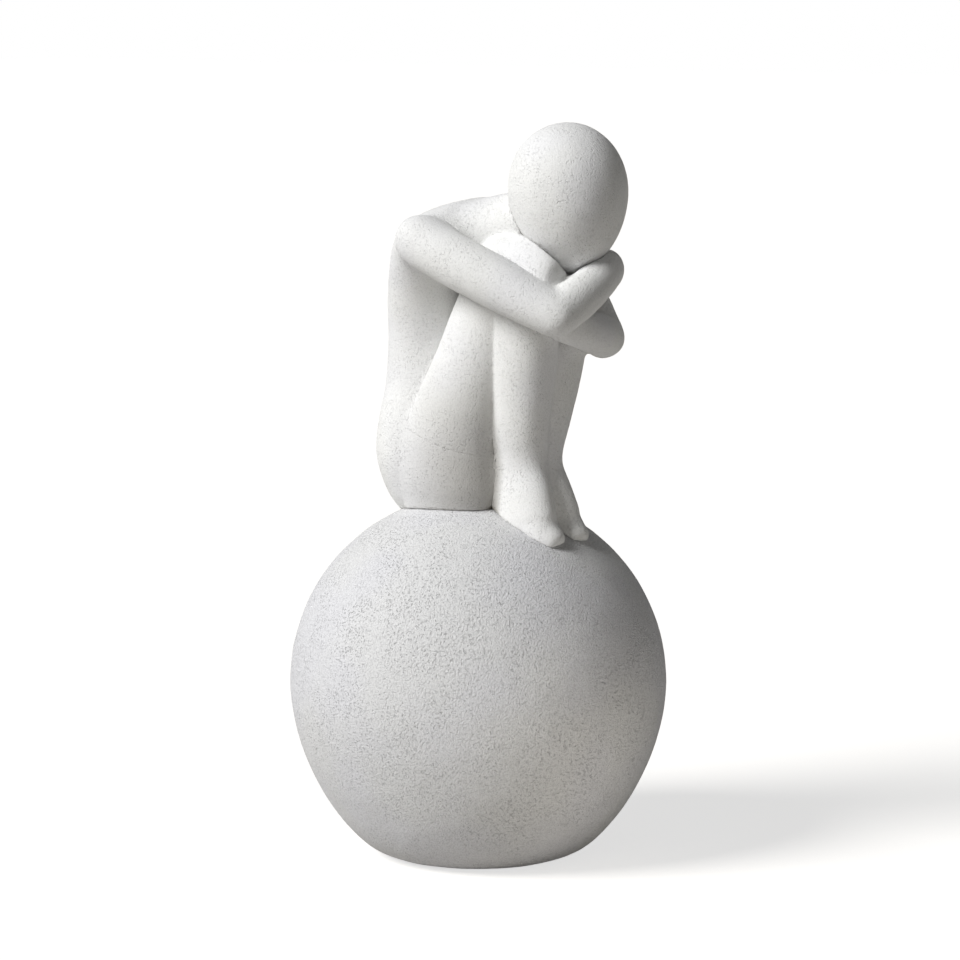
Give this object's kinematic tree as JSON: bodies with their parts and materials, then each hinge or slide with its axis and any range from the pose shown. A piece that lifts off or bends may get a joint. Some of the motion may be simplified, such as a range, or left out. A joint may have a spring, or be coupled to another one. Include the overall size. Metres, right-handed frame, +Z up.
{
  "type": "seated figure ornament",
  "caption": "Faceless abstract figure sitting on a ball with flat foot, hugging drawn-up knees, head bowed; matt sandstone-effect resin castings glued and pinned together.",
  "frame": {"origin": "bottom centre of the felt foot pad, under the ball's centre", "axes": "+Z up through the ball's centre; the figure faces -Y; +X is the figure's left"},
  "size_m": [0.092, 0.092, 0.1792],
  "materials": {
    "figure_resin": "matt cast polyresin with a fine sandy grain, off-white",
    "ball_resin": "matt cast polyresin, off-white to pale grey with fine dark grey sandstone speckle",
    "plaster": "rough poured plaster",
    "felt": "dark grey pressed felt",
    "stopper_rubber": "matt white rubber",
    "pin_steel": "drawn steel wire"
  },
  "bodies": {
    "root": {"ball_shell": "ball_resin", "ball_fill": "plaster", "stopper": "stopper_rubber", "foot_pad": "felt", "seat_pins": "pin_steel", "neck_pin": "pin_steel", "head": "figure_resin", "torso": "figure_resin", "right_arm": "figure_resin", "left_arm": "figure_resin", "right_leg": "figure_resin", "left_leg": "figure_resin"}
  },
  "joints": []
}
